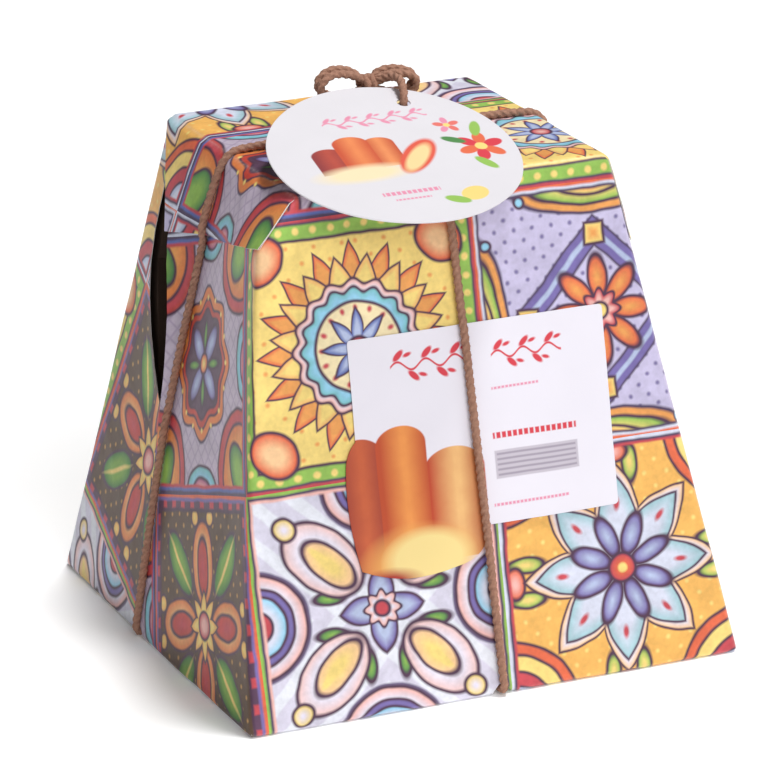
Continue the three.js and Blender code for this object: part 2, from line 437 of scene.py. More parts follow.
def unfolded(s, t, lean):
    """A flat sheet's place beyond its left fold line, in the coordinates of the end behind it."""
    turn = math.atan(lean) + math.atan(EDGE_SLOPE)
    x, y = s + BASE / 2, t
    return (
        x * math.cos(turn) - y * math.sin(turn) + BASE / 2,
        x * math.sin(turn) + y * math.cos(turn),
    )


def folded_back(u, v, lean):
    """The flat place of a point given in the end's coordinates: the reverse of unfolded."""
    turn = -math.atan(lean) - math.atan(EDGE_SLOPE)
    x, y = u - BASE / 2, v
    return Vector((
        x * math.cos(turn) - y * math.sin(turn) - BASE / 2,
        x * math.sin(turn) + y * math.cos(turn),
    ))


def fold_s(t, lean):
    """Where the left fold line of a sheet lies at the height t."""
    return -BASE / 2 + lean * t


def end_place(end, s, t, layer):
    """The place of a near or far fold's point, joined smoothly to the fold line."""
    u, v = unfolded(s, t, end.fold_lean)
    place = end.place(u, v, layer(u, v))
    reach = max(half_width(v) - u, 0)
    along = max(v / math.cos(math.atan(EDGE_SLOPE)) * math.cos(math.atan(end.fold_lean)), 0)
    edge_u, edge_v = unfolded(fold_s(along, end.fold_lean), along, end.fold_lean)
    there = end.place(edge_u, edge_v, layer(edge_u, edge_v))
    wanted = on_face("front", *front_edge(end, front_height(end, along)), 0)
    return place + (wanted - there) * math.exp(-reach / JOIN_REACH)


# %% The loose left edge
SHOULDER = 203.6       # where the loose left edge turns back to the top corner
BULGE = 2.2
BULGE_REACH = 22
CREASE_DEPTH = 0.35    # how far the loose fold is rounded, in bends
CREASE_IN = -(PLANES["front"][1] + PLANES["left"][1]).normalized() * MM * BEND * CREASE_DEPTH


def front_height(end, along):
    """The height on the front face where a height up the near fold's edge is joined to it."""
    if end is RIGHT or along < SHOULDER:
        return along
    whole = SLANT / math.cos(math.atan(EDGE_SLOPE)) * math.cos(math.atan(end.fold_lean))
    return SHOULDER + (along - SHOULDER) * (SLANT - SHOULDER) / (whole - SHOULDER)


def front_edge(end, t):
    """The edge of the front face at a height t, as a place in the face."""
    s = fold_s(min(t, SHOULDER), end.fold_lean)
    if end is LEFT and t > SHOULDER:
        return s + (-TOP / 2 - s) * (t - SHOULDER) / (SLANT - SHOULDER), t
    return end.sign * fold_s(t, end.fold_lean), t


def crease(s, t):
    """How near a flat place is to the loose left fold, from 0 to 1."""
    lean = LEFT.fold_lean
    if t > SHOULDER:
        lean = (-TOP / 2 - fold_s(SHOULDER, lean)) / (SLANT - SHOULDER)
    away = abs(s - front_edge(LEFT, t)[0]) / math.hypot(1, lean)
    return max(1 - away / BEND, 0)


def bulge(s, t):
    """The loose left edge bows out in the plane of the front."""
    if t >= SHOULDER:
        return Vector()
    near = math.exp(-(((s - fold_s(t, LEFT.fold_lean)) / BULGE_REACH) ** 2))
    return Vector((-BULGE * MM * math.sin(math.pi * t / SHOULDER) * near, 0, 0))


# %% Scoring and folding the front sheet
BLANK = (-252, 252, 0, 270)    # what the front and the back sheet are cut from


def blank_sheet(left_lean, right_lean):
    """A sheet for the front or the back, with its bends and its two fold lines scored."""
    sheet = flat_sheet(*BLANK)
    score_rows(sheet, (SLANT, SLANT - 1, 1, SLANT - 2, 2, SLANT - 3, 3))
    score_fold(sheet, (-BASE / 2, 0), (left_lean, 1))
    score_fold(sheet, (BASE / 2, 0), (-right_lean, 1))
    return sheet


def score_outline(sheet, end, free_edge, mirror):
    """Scores an end's outline: its free edge, its hidden top and its foot, as (u, v) points."""
    for points in (free_edge, [(0, HIDDEN_TOP), (50, HIDDEN_TOP)], [(0, 0), (50, 0)]):
        flat = [folded_back(u, v, end.fold_lean) * Vector((mirror, 1)) for u, v in points]
        score_line(sheet, flat)


def front_place(s, t):
    soft = bulge(s, t) + CREASE_IN * crease(s, t) ** 2
    if s < front_edge(LEFT, t)[0] - ON_LINE:
        return end_place(LEFT, s, t, LEFT.near) + soft
    if -s < fold_s(t, RIGHT.fold_lean) - ON_LINE:
        return end_place(RIGHT, -s, t, RIGHT.near)
    return on_face("front", s, t, 0) + soft


def beyond_front(s, t):
    """Whether a flat place is outside the front sheet's outline."""
    for end, place in ((LEFT, s), (RIGHT, -s)):
        if place < fold_s(t, end.fold_lean):
            u, v = unfolded(place, t, end.fold_lean)
            return v < 0 or v > HIDDEN_TOP or u < between(end.free_edge, v)
    return t > SLANT or (t > SHOULDER and s < front_edge(LEFT, t)[0])


front_sheet = blank_sheet(LEFT.fold_lean, RIGHT.fold_lean)
shoulder_s = fold_s(SHOULDER, LEFT.fold_lean)
score_fold(
    front_sheet, (-TOP / 2, SLANT), (shoulder_s + TOP / 2, SHOULDER - SLANT), (0, 1, 2, 3))
for end, mirror in ((LEFT, 1), (RIGHT, -1)):
    score_outline(front_sheet, end, [(u, v) for v, u in end.free_edge], mirror)
finish_sheet("front", front_sheet, beyond_front, identity, front_place)

# %% [markdown]
# ## Back sheet
#
# The back is folded the same way and lies tight on the carton. Seen from behind, its sheet is the
# front sheet over again, and its folds are the ends' far folds. The print comes down it from the
# top.

# %% Back sheet
FAR_EASE = 6           # how far from its fold line a far fold gets its full height


class FarSide:
    """An end of the box as the back sheet sees it: its u runs towards the back."""

    fold_lean = EDGE_SLOPE

    def __init__(self, end):
        self.end = end

    def layer(self, u, v):
        return self.end.far(-u, v)

    def place(self, u, v, h):
        return self.end.place(-u, v, h)


# Seen from behind, the right end is on the left.
FAR_SIDES = [(FarSide(RIGHT), 1), (FarSide(LEFT), -1)]


def back_place(s, t):
    for far, mirror in FAR_SIDES:
        if mirror * s < fold_s(t, far.fold_lean) - ON_LINE:
            u, v = unfolded(mirror * s, t, far.fold_lean)
            share = min(max(half_width(v) - u, 0) / FAR_EASE, 1)
            return far.place(u, v, far.layer(u, v) * share)
    return on_face("back", s, t, 0)


def beyond_back(s, t):
    for far, mirror in FAR_SIDES:
        if mirror * s < fold_s(t, far.fold_lean):
            u, v = unfolded(mirror * s, t, far.fold_lean)
            return v < 0 or v > HIDDEN_TOP or -u > between(far.end.far_edge, v)
    return t > SLANT


def back_print(s, t):
    return -s, SLANT + TOP + SLANT - t


back_sheet = blank_sheet(EDGE_SLOPE, EDGE_SLOPE)
for far, mirror in FAR_SIDES:
    score_outline(back_sheet, far, [(-u, v) for v, u in far.end.far_edge], mirror)
finish_sheet("back", back_sheet, beyond_back, back_print, back_place)

# %% [markdown]
# ## Top sheet
#
# The top goes on from the front in the same flat coordinates. Past the left and right edges it
# hangs down over the other folds, as far as each end's top edge says.

# %% Top sheet
FRONT_PULL = 0.0366    # how far a place moves in per height to stay on the planes beside the end
TOP_MIDDLE = SLANT + TOP / 2


def top_end(s, t):
    """A place of a top fold in the end's coordinates."""
    return TOP_MIDDLE - t, TOP_MIDDLE - abs(s)


def top_place(s, t):
    if abs(s) <= TOP / 2 + ON_LINE:
        return Vector((s, t - SLANT - TOP / 2, HEIGHT)) * MM
    u, v = top_end(s, t)
    end = LEFT if s < 0 else RIGHT
    out = end.top(u, v)
    return end.place(u * (1 - FRONT_PULL * out / half_width(v)), v, out)


def beyond_top(s, t):
    u, v = top_end(s, t)
    if abs(s) < TOP / 2:
        return abs(u) > TOP / 2
    end = LEFT if s < 0 else RIGHT
    return v < end.top_edge_v(u) or abs(u) > half_width(v)


top_sheet = flat_sheet(-117, 117, SLANT - 9, SLANT + TOP + 8)
for sign in (-1, 1):
    score_fold(top_sheet, (sign * TOP / 2, 0), (0, 1))
    score_rows(top_sheet, [TOP_MIDDLE + sign * (TOP / 2 - offset) for offset in (0, 1, 2, 3)])
    for side in (-1, 1):
        edge_foot = (side * (TOP / 2 + SLANT), TOP_MIDDLE + sign * BASE / 2)
        score(top_sheet, edge_foot, (-side * SLANT, -sign * (BASE - TOP) / 2))
for end, sign in ((LEFT, -1), (RIGHT, 1)):
    score_line(top_sheet, [
        Vector((sign * (TOP_MIDDLE - v), TOP_MIDDLE - u)) for u, v in end.top_edge])
finish_sheet("top", top_sheet, beyond_top, identity, top_place)

# %% [markdown]
# ## Base sheet
#
# The print goes on under the base from the front's bottom edge.

# %% Base sheet
def base_place(s, t):
    return Vector((s, -BASE / 2 - t, 0)) * MM


base_sheet = flat_sheet(-117, 117, -BASE, 0)
for sign in (-1, 1):
    for offset in (0, 1, 2, 3):
        score(base_sheet, (sign * (BASE / 2 - offset), 0), (0, 1))
score_rows(base_sheet, (-1, 1 - BASE, -2, 2 - BASE, -3, 3 - BASE))
finish_sheet("base", base_sheet, lambda s, t: abs(s) > BASE / 2, identity, base_place)

# %% [markdown]
# ## Shader maths
#
# A painted tile is a stack of simple shapes, and each shape is a bit of arithmetic on the place in
# the tile. `Value` lets that arithmetic be written as plain expressions, which add their Math
# nodes.

# %% Shader maths
def operator(operation, swapped=False):
    """A method of Value that adds a Math node for an arithmetic sign."""
    def method(self, other):
        values = (other, self) if swapped else (self, other)
        return self.finish.math(operation, *values)
    return method


class Value:
    """A number that the nodes of a finish work out at each point of a surface."""

    def __init__(self, finish, socket):
        self.finish = finish
        self.socket = socket

    def math(self, operation, *others):
        return self.finish.math(operation, self, *others)

    __add__ = operator("ADD")
    __sub__ = operator("SUBTRACT")
    __rsub__ = operator("SUBTRACT", swapped=True)
    __mul__ = operator("MULTIPLY")

    def __abs__(self):
        return self.math("ABSOLUTE")

    def smaller(self, other):
        return self.math("MINIMUM", other)

    def larger(self, other):
        return self.math("MAXIMUM", other)

    def folded(self, span):
        """Runs up to the span and down to 0 again, over and over."""
        return self.math("PINGPONG", span)


class Finish:
    """A material: its shader, and the nodes that feed it."""

    def __init__(self, name, **settings):
        self.material = bpy.data.materials.new(name)
        self.material.use_nodes = True
        self.tree = self.material.node_tree
        self.tree.nodes.clear()
        self.shader = self.node("ShaderNodeBsdfPrincipled", {}, settings)
        self.node("ShaderNodeOutputMaterial", {}, {"Surface": self.shader.outputs["BSDF"]})

    def node(self, kind, settings, inputs):
        """Adds a node. settings are set first, then the values or links of its inputs."""
        node = self.tree.nodes.new(kind)
        for name, setting in settings.items():
            setattr(node, name, setting)
        for key, value in inputs.items():
            if isinstance(value, Value):
                value = value.socket
            if isinstance(value, bpy.types.NodeSocket):
                self.tree.links.new(value, node.inputs[key])
            else:
                node.inputs[key].default_value = value
        return node

    def math(self, operation, *values):
        node = self.node("ShaderNodeMath", {"operation": operation}, dict(enumerate(values)))
        return Value(self, node.outputs[0])

    def mix(self, share, under, over, blend="MIX"):
        """A colour between two, or one multiplied by the other."""
        settings = {"data_type": "RGBA", "blend_type": blend}
        return self.node("ShaderNodeMix", settings, {0: share, 6: under, 7: over}).outputs[2]

    def ranged(self, value, **ends):
        """A value moved from one range into another. The ends are named with _ for a space."""
        inputs = {name.replace("_", " "): end for name, end in ends.items()}
        node = self.node("ShaderNodeMapRange", {}, {"Value": value, **inputs})
        return Value(self, node.outputs[0])

    def inside(self, distance, soft):
        """1 where a distance is under 0, with a soft edge."""
        return self.ranged(distance, From_Min=soft, From_Max=-soft)

    def object_place(self):
        return self.node("ShaderNodeTexCoord", {}, {}).outputs["Object"]

    def print_place(self):
        return self.node("ShaderNodeUVMap", {"uv_map": "print"}, {}).outputs[0]

    def parts(self, place):
        """The first two coordinates of a place."""
        outputs = self.node("ShaderNodeSeparateXYZ", {}, {0: place}).outputs
        return Value(self, outputs[0]), Value(self, outputs[1])

    def noise(self, scale, detail=2.0):
        """A soft noise from 0 to 1 over the piece."""
        inputs = {"Vector": self.object_place(), "Scale": scale, "Detail": detail}
        return Value(self, self.node("ShaderNodeTexNoise", {}, inputs).outputs[0])

    def bump(self, height, strength, distance):
        inputs = {"Height": height, "Strength": strength, "Distance": distance}
        return self.node("ShaderNodeBump", {}, inputs).outputs[0]

    def length(self, x, y):
        return (x * x + y * y).math("SQRT")

    def feed(self, **links):
        """Links values to the shader's inputs, named with _ for a space."""
        for name, value in links.items():
            socket = value.socket if isinstance(value, Value) else value
            self.tree.links.new(socket, self.shader.inputs[name.replace("_", " ")])


def ink(red, green, blue):
    """A colour as it looks on paper, from 0 to 255, for a shader, which wants linear light."""
    def linear(level):
        level /= 255
        return level / 12.92 if level <= 0.04045 else ((level + 0.055) / 1.055) ** 2.4
    return (linear(red), linear(green), linear(blue), 1)


# %% [markdown]
# ## Painting a tile
#
# `Tile` knows the place in a tile, from -1 to 1, and its mirrored and polar forms. Mirroring with
# `abs` paints four shapes for the price of one, and a polar sector repeats a shape round the
# middle. Each shape is a distance that is negative inside. `paint` fills it and draws its outline,
# as a pottery painter does with a fine brush.

# %% Painting tools
OUTLINE = ink(84, 56, 80)
WANDER = 0.018         # how far a painted line strays, in tiles
LINE = 0.012           # the half width of an outline
SOFT = 0.009           # the half width of a painted edge


class Tile(Finish):
    """A painted tile. s and t are its coordinates, a and b mirrored, p and q along diagonals."""

    def __init__(self, name, ground):
        super().__init__(name, Roughness=0.42, **{"Specular IOR Level": 0.4})
        stray = self.node("ShaderNodeTexNoise", {}, {
            "Vector": self.object_place(), "Scale": 75.0, "Detail": 1.0}).outputs["Color"]
        drawn = self.node("ShaderNodeVectorMath", {"operation": "MULTIPLY_ADD"}, {
            0: stray, 1: (WANDER, WANDER, 0), 2: self.print_place()}).outputs[0]
        self.s, self.t = (part * 2 - (1 + WANDER) for part in self.parts(drawn))
        self.a = abs(self.s)
        self.b = abs(self.t)
        self.p = (self.a + self.b) * math.sqrt(0.5)
        self.q = (self.a - self.b) * math.sqrt(0.5)
        self.sides = (self.a, self.b), (self.b, self.a)
        self.radius = self.length(self.s, self.t)
        self.angle = self.math("ARCTAN2", self.t, self.s)
        self.colour = ground

    def oval(self, x, y, at, size):
        """The distance to an oval in any pair of coordinates."""
        across = (x - at[0]) * (1 / size[0]) if at[0] else x * (1 / size[0])
        up = (y - at[1]) * (1 / size[1]) if at[1] else y * (1 / size[1])
        return (self.length(across, up) - 1) * min(size)

    def sector(self, count, turn=0.0):
        """The angle from the nearest of count spokes."""
        return (self.angle + turn).folded(math.pi / count)

    def ring_of(self, count, at, size, turn=0.0):
        """Ovals in a ring round the middle."""
        sector = self.sector(count, turn)
        x, y = (self.radius * sector.math(part) for part in ("COSINE", "SINE"))
        return self.oval(x, y, (at, 0), size)

    def star(self, count, outer, inner, turn=0.0):
        width = (inner - outer) * count / math.pi
        return (self.radius - (self.sector(count, turn) * width + outer)) * 0.8

    def lobes(self, count, at, swing):
        return self.radius - (self.angle * count).math("COSINE") * swing - at

    def frame(self, at):
        """Negative outside a square."""
        return at - self.a.larger(self.b)

    def paint(self, distance, colour, line=LINE, outline=OUTLINE, soft=SOFT):
        if line:
            self.colour = self.mix(self.inside(distance - line, soft), self.colour, outline)
        self.colour = self.mix(self.inside(distance + line, soft), self.colour, colour)

    def petal(self, distance, colour, light, deep=0.04):
        """A shape with a lighter middle, as a loaded brush leaves it."""
        self.paint(distance, colour)
        self.paint(distance + deep, light, line=0, soft=deep * 0.7)

    def petals(self, x, y, *rows):
        """Ovals with lighter middles, each given by its place, its size and what petal takes."""
        for at, size, *paints in rows:
            self.petal(self.oval(x, y, at, size), *paints)

    def dots(self, spacing, size, colour):
        """A field of dots, every other row shifted."""
        x, y = ((part + spacing / 2).folded(spacing) for part in (self.p, self.q))
        self.paint(self.length(x, y) - size, colour, line=0)

    def band(self, distance, width, colour):
        """A line of the given half width along a distance's zero."""
        self.colour = self.mix(self.inside(abs(distance) - width, SOFT), self.colour, colour)

    def edging(self, colours, width=0.03):
        """Stripes along the tile's edges, from the outside inwards."""
        for index in reversed(range(len(colours))):
            self.paint(self.frame(1 - width * (index + 1)), colours[index], line=0)

    def varnish(self):
        """The ink's uneven depth, lighter along worn folds, and the paper's grain."""
        depth = self.noise(90.0, 3.0) * 0.6 + self.noise(420.0, 3.0) * 0.4
        tone = self.ranged(depth, From_Min=0.34, From_Max=0.66, To_Min=0.84, To_Max=1.08)
        darker = self.mix(1.0, self.colour, tone, "MULTIPLY")
        fold = self.node("ShaderNodeAttribute", {"attribute_name": "fold"}, {}).outputs["Fac"]
        worn = Value(self, fold).math("POWER", 3) * (self.noise(420.0, 2.0) - 0.15) * 0.5
        self.feed(Base_Color=self.mix(worn, darker, ink(236, 226, 220)))
        self.feed(Roughness=self.noise(160.0) * 0.16 + 0.36)
        grain = self.noise(900.0, 3.0) * 0.25 + self.noise(90.0, 2.0)
        ridges = abs(self.noise(16.0, 4.0) - 0.5).smaller(0.06) * -14
        self.feed(Normal=self.bump(grain + ridges, 0.35, 0.0004))
        return self.material


# %% [markdown]
# ## The six motifs
#
# The motifs are the common stock of painted tiles: stars, rosettes, petals, diamonds, fans in the
# corners and fields of dots, in warm orange, yellow and red against lilac, blue, green and
# turquoise.

# %% Star tile and lattice tile
CRIMSON = ink(206, 78, 88)
RED_ORANGE = ink(234, 112, 76)
ORANGE = ink(242, 166, 92)
PEACH = ink(252, 206, 156)
YELLOW = ink(252, 222, 132)
LEAF_GREEN = ink(154, 198, 92)
DEEP_GREEN = ink(84, 142, 80)
TURQUOISE = ink(128, 198, 204)
SKY = ink(156, 214, 242)
PALE_BLUE = ink(188, 200, 232)
MIST = ink(222, 226, 244)
VIOLET = ink(126, 112, 176)
BLUE = ink(98, 114, 182)
LILAC = ink(238, 230, 244)
GREY_LILAC = ink(204, 190, 208)
GOLDEN = ink(250, 190, 100)
DEEP_ORANGE = ink(238, 138, 76)
BRICK = ink(206, 72, 58)
PLUM = ink(96, 66, 92)
PINK = ink(248, 192, 184)
MAGENTA = ink(188, 92, 142)
DARK = ink(84, 68, 98)


def star_tile():
    tile = Tile("print_star", GOLDEN)
    tile.dots(0.07, 0.016, YELLOW)
    corner = tile.length(1 - tile.a, 1 - tile.b)
    for reach, colour in ((0.56, RED_ORANGE), (0.47, YELLOW), (0.34, CRIMSON)):
        tile.paint(corner - reach, colour)
    tile.petal(corner - 0.22, PALE_BLUE, MIST)
    for side in tile.sides:
        tile.petals(
            *side, ((0.8, 0.13), (0.15, 0.06), LEAF_GREEN, YELLOW, 0.03),
            ((0.9, 0), (0.08, 0.12), RED_ORANGE, PINK))
    tile.petal(tile.star(8, 0.82, 0.48), PEACH, LILAC)
    tile.petal(tile.star(8, 0.72, 0.42), ink(172, 208, 218), MIST, 0.09)
    tile.petal(tile.ring_of(8, 0.27, (0.17, 0.075), math.pi / 8), VIOLET, PALE_BLUE)
    tile.paint(tile.ring_of(8, 0.5, (0.05, 0.022)), CRIMSON, line=0)
    tile.petal(tile.radius - 0.11, CRIMSON, RED_ORANGE)
    tile.paint(tile.radius - 0.04, YELLOW, line=0)
    tile.edging([MIST, DARK, CRIMSON], 0.022)
    return tile.varnish()


def lattice_tile():
    tile = Tile("print_lattice", ink(206, 198, 230))
    tile.dots(0.055, 0.016, ink(128, 118, 164))
    for side in tile.sides:
        tile.paint(tile.oval(*side, (1, 0), (0.24, 0.66)), ORANGE, outline=DARK)
        tile.petals(
            *side, ((1, 0), (0.17, 0.52), LEAF_GREEN, YELLOW, 0.05),
            ((1, 0), (0.1, 0.28), YELLOW, RED_ORANGE))
        tile.paint(tile.oval(*side, (0.9, 0.6), (0.04, 0.04)), SKY)
    for width, colour in ((0.09, DARK), (0.072, VIOLET), (0.02, PALE_BLUE)):
        tile.band(tile.p - 0.44, width, colour)
    for along, across in tile.sides:
        tile.petal(abs(along - 0.6).larger(across) - 0.08, YELLOW, ORANGE)
    tile.petal(tile.ring_of(8, 0.26, (0.17, 0.078)), RED_ORANGE, ORANGE)
    tile.petal(tile.lobes(8, 0.15, 0.025), CRIMSON, PINK)
    tile.paint(tile.radius - 0.065, YELLOW)
    tile.edging([RED_ORANGE, MIST, DARK], 0.02)
    return tile.varnish()


# %% Lily tile and sun tile
def lily_tile():
    tile = Tile("print_lily", ink(222, 218, 236))
    tile.paint(tile.q.folded(0.11) - 0.05, ink(238, 240, 250), line=0)
    for along, across in tile.sides:
        fan = tile.length(1 - along, across)
        tile.paint(fan - 0.43, ink(112, 98, 132), line=0)
        tile.petal(fan - 0.4, PINK, LILAC, 0.05)
        tile.paint(fan - 0.3, VIOLET)
        tile.petal(fan - 0.24, SKY, MIST, 0.05)
        tile.paint(fan - 0.12, CRIMSON)
        tile.petals(along, across, ((0.42, 0.14), (0.12, 0.05), DEEP_GREEN, LEAF_GREEN, 0.03))
    tile.petals(
        tile.p, tile.q, ((0.62, 0), (0.36, 0.23), ink(244, 206, 204), LILAC, 0.05),
        ((0.56, 0), (0.25, 0.12), PEACH, YELLOW, 0.05))
    tile.paint(tile.oval(tile.p, tile.q, (0.66, 0), (0.1, 0.03)), YELLOW, line=0)
    tile.petals(tile.p, tile.q, ((1.0, 0), (0.09, 0.08), YELLOW, LILAC))
    tile.petal(tile.star(4, 0.34, 0.14), VIOLET, PALE_BLUE, 0.05)
    tile.petal(tile.lobes(8, 0.13, 0.02), PINK, LILAC)
    tile.paint(tile.radius - 0.06, CRIMSON)
    tile.edging([LEAF_GREEN, DARK, PINK], 0.022)
    return tile.varnish()


def sun_tile():
    tile = Tile("print_sun", YELLOW)
    tile.dots(0.08, 0.016, ORANGE)
    tile.paint(tile.frame(0.85), LEAF_GREEN)
    beads = tile.length(tile.a.larger(tile.b) - 0.92, tile.a.smaller(tile.b).folded(0.07))
    tile.paint(beads - 0.028, YELLOW, line=0)
    tile.petals(tile.p, tile.q, ((1.02, 0), (0.16, 0.2), RED_ORANGE, PEACH, 0.06))
    tile.petal(tile.star(16, 0.8, 0.5), RED_ORANGE, ORANGE)
    tile.petal(tile.star(16, 0.7, 0.5, math.pi / 16), ink(252, 190, 116), YELLOW)
    tile.petal(tile.lobes(16, 0.5, 0.022), PINK, LILAC)
    tile.petal(tile.lobes(16, 0.44, 0.02), TURQUOISE, SKY)
    tile.paint(tile.radius - 0.35, ink(252, 234, 188))
    tile.paint(tile.ring_of(16, 0.3, (0.024, 0.018)), CRIMSON, line=0)
    tile.petal(tile.star(8, 0.3, 0.12), BLUE, PALE_BLUE, 0.05)
    tile.petal(tile.radius - 0.08, CRIMSON, PINK)
    tile.edging([CRIMSON, DARK], 0.018)
    return tile.varnish()


# %% Leaf tile and lace tile
def leaf_tile():
    tile = Tile("print_leaf", ink(96, 72, 54))
    tile.dots(0.06, 0.015, ink(204, 156, 84))
    tile.petals(
        tile.p, tile.q, ((0.66, 0), (0.32, 0.15), ink(72, 132, 62), ink(134, 182, 76), 0.05))
    tile.paint(tile.oval(tile.p, tile.q, (0.66, 0), (0.25, 0.02)), YELLOW, line=0)
    for side in tile.sides:
        tile.petals(
            *side, ((0.48, 0), (0.33, 0.2), DEEP_ORANGE, ink(248, 182, 120), 0.05),
            ((0.45, 0), (0.22, 0.1), BRICK, CRIMSON, 0.05),
            ((0.83, 0.15), (0.07, 0.07), GOLDEN, YELLOW))
    tile.petal(tile.star(8, 0.28, 0.15), GOLDEN, YELLOW)
    tile.petal(tile.radius - 0.11, CRIMSON, PINK)
    tile.paint(tile.frame(0.88), PLUM)
    checks = tile.a.smaller(tile.b).folded(0.1) - 0.04
    tile.paint(tile.frame(0.9).larger(checks), CRIMSON, line=0)
    tile.edging([RED_ORANGE, VIOLET], 0.026)
    return tile.varnish()


def lace_tile():
    tile = Tile("print_lace", GREY_LILAC)
    threads = tile.p.folded(0.05).smaller(tile.q.folded(0.05)) - 0.006
    tile.paint(threads, ink(176, 158, 186), line=0)
    tile.petals(
        tile.p, tile.q, ((1.25, 0), (0.56, 0.5), BRICK, CRIMSON, 0.03),
        ((1.3, 0), (0.5, 0.42), DEEP_ORANGE, ORANGE, 0.08),
        ((1.18, 0), (0.28, 0.17), DEEP_GREEN, LEAF_GREEN, 0.06))
    for side in tile.sides:
        tile.petals(
            *side, ((0.98, 0), (0.2, 0.3), TURQUOISE, SKY, 0.05),
            ((0.98, 0), (0.11, 0.17), MAGENTA, PINK))
    tile.paint(tile.lobes(8, 0.56, 0.04), DEEP_ORANGE, outline=DARK)
    tile.paint(tile.lobes(8, 0.47, 0.035), BRICK)
    tile.paint(tile.lobes(8, 0.4, 0.03), PLUM)
    tile.paint(tile.ring_of(16, 0.515, (0.02, 0.02)), YELLOW, line=0)
    tile.petal(tile.ring_of(4, 0.22, (0.13, 0.04)), DEEP_GREEN, LEAF_GREEN, 0.03)
    tile.petal(tile.ring_of(4, 0.21, (0.18, 0.085), math.pi / 4), VIOLET, PALE_BLUE)
    tile.petal(tile.radius - 0.08, RED_ORANGE, YELLOW)
    tile.edging([DARK, BLUE, CRIMSON], 0.026)
    return tile.varnish()


PAINTERS = {
    "star": star_tile, "lattice": lattice_tile, "lily": lily_tile,
    "sun": sun_tile, "leaf": leaf_tile, "lace": lace_tile,
}
print_materials = [PAINTERS[motif]() for motif in MOTIFS]
print("tiles:", {m.name: len(m.node_tree.nodes) for m in print_materials})

# %% [markdown]
# ## Joining the paper
#
# The four sheets are one sheet of paper in life, so they are welded where they meet and given the
# paper's thickness by a Solidify modifier. Its rim shows the paper's white core.

# %% The wrapping paper
PAPER_THICK = 0.3
WELD = 0.1             # sheets' vertices this near are one
GRAIN_DEEP = 0.0002    # the depth of the finest bumps, in metres


def plain_finish(name, roughness, shade, light, scale, detail, grain):
    """A finish of one colour that wavers between two shades, with a fine grain."""
    plain = Finish(name, Roughness=roughness)
    plain.feed(Base_Color=plain.mix(plain.noise(scale, detail), shade, light))
    plain.feed(Normal=plain.bump(plain.noise(grain, 3.0), 0.3, GRAIN_DEEP))
    return plain.material


def new_object(name, data):
    """An object with the given data, in the scene."""
    made = bpy.data.objects.new(name, data)
    bpy.context.scene.collection.objects.link(made)
    return made


def add_piece(name, mesh, materials, slot, *nodes, smooth=True):
    """A finished bmesh as an object that rides with the pack and stands for CAD nodes."""
    data = bpy.data.meshes.new(name)
    for edge in mesh.edges:
        edge.smooth = not edge.is_boundary
    mesh.to_mesh(data)
    mesh.free()
    piece = new_object(name, data)
    for material in materials:
        data.materials.append(material)
    for polygon in data.polygons:
        polygon.use_smooth = smooth
    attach(piece, "root")
    if nodes:
        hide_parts(*nodes)
    return piece


def thicken(piece, thickness, offset):
    """Gives a piece that is one skin its thickness, in millimetres."""
    body = piece.modifiers.new("thickness", "SOLIDIFY")
    body.thickness = thickness * MM
    body.offset = offset
    return body


def joined(sheets, weld):
    """One bmesh from several, with shared vertices merged."""
    whole = bmesh.new()
    for sheet in sheets:
        data = bpy.data.meshes.new("part")
        sheet.to_mesh(data)
        sheet.free()
        whole.from_mesh(data)
        bpy.data.meshes.remove(data)
    bmesh.ops.remove_doubles(whole, verts=whole.verts, dist=weld * MM)
    return whole


paper = joined([front_sheet, back_sheet, top_sheet, base_sheet], WELD)
core_and_back = [
    plain_finish(
        name, 0.7, shade, ink(246, 240, 236), scale=300.0, detail=3.0, grain=1400.0)
    for name, shade in (
        ("paper_edge", ink(232, 226, 222)), ("paper_inside", ink(196, 188, 190)))]
wrapping = add_piece(
    "wrapping_paper", paper, [*print_materials, *core_and_back], "printed_paper", "wrapped_box")
body = thicken(wrapping, PAPER_THICK, -1)
body.material_offset_rim = len(MOTIFS)
body.material_offset = len(MOTIFS) + 1
print("wrapping paper:", len(wrapping.data.polygons), "faces")

# %% [markdown]
# ## The carton
#
# The carton hides under the paper, and shows only as the dark ground of the gap on the left side.
# Its board is coloured far darker than bare carton, as painted shade for the deep gap. A cube is
# squeezed to the truncated pyramid, and its left wall is pushed in behind the gap.

# %% The carton
CARTON_INSET = 1.8
CARTON_FOOT = CHANNEL_DEEP + 1.2
POCKET = [(-16, 92), (-27, 205), (-62, 205), (-65, 160), (-46, 116)]
POCKET_DEEP = 6.0
LEFTWARDS = 0.9        # a face whose normal points this much to the left is in the left wall


def carton_place(vertex):
    """A point of the unit cube, moved to the carton's place."""
    z = CARTON_FOOT + (vertex.z + 0.5) * (HEIGHT - CARTON_INSET - CARTON_FOOT)
    half = BASE / 2 + (TOP - BASE) / 2 * z / HEIGHT - CARTON_INSET / math.cos(LEAN)
    return Vector((vertex.x * 2 * half, vertex.y * 2 * half, z)) * MM


def left_wall():
    """The faces of the carton's left wall."""
    return [face for face in carton.faces if face.normal.x < -LEFTWARDS]


def in_pocket(place):
    """Whether a place is on the same side of every line of the pocket as the pocket's middle."""
    return all(
        (place - start).dot(normal) * (middle - start).dot(normal) >= 0 for start, normal in lines)


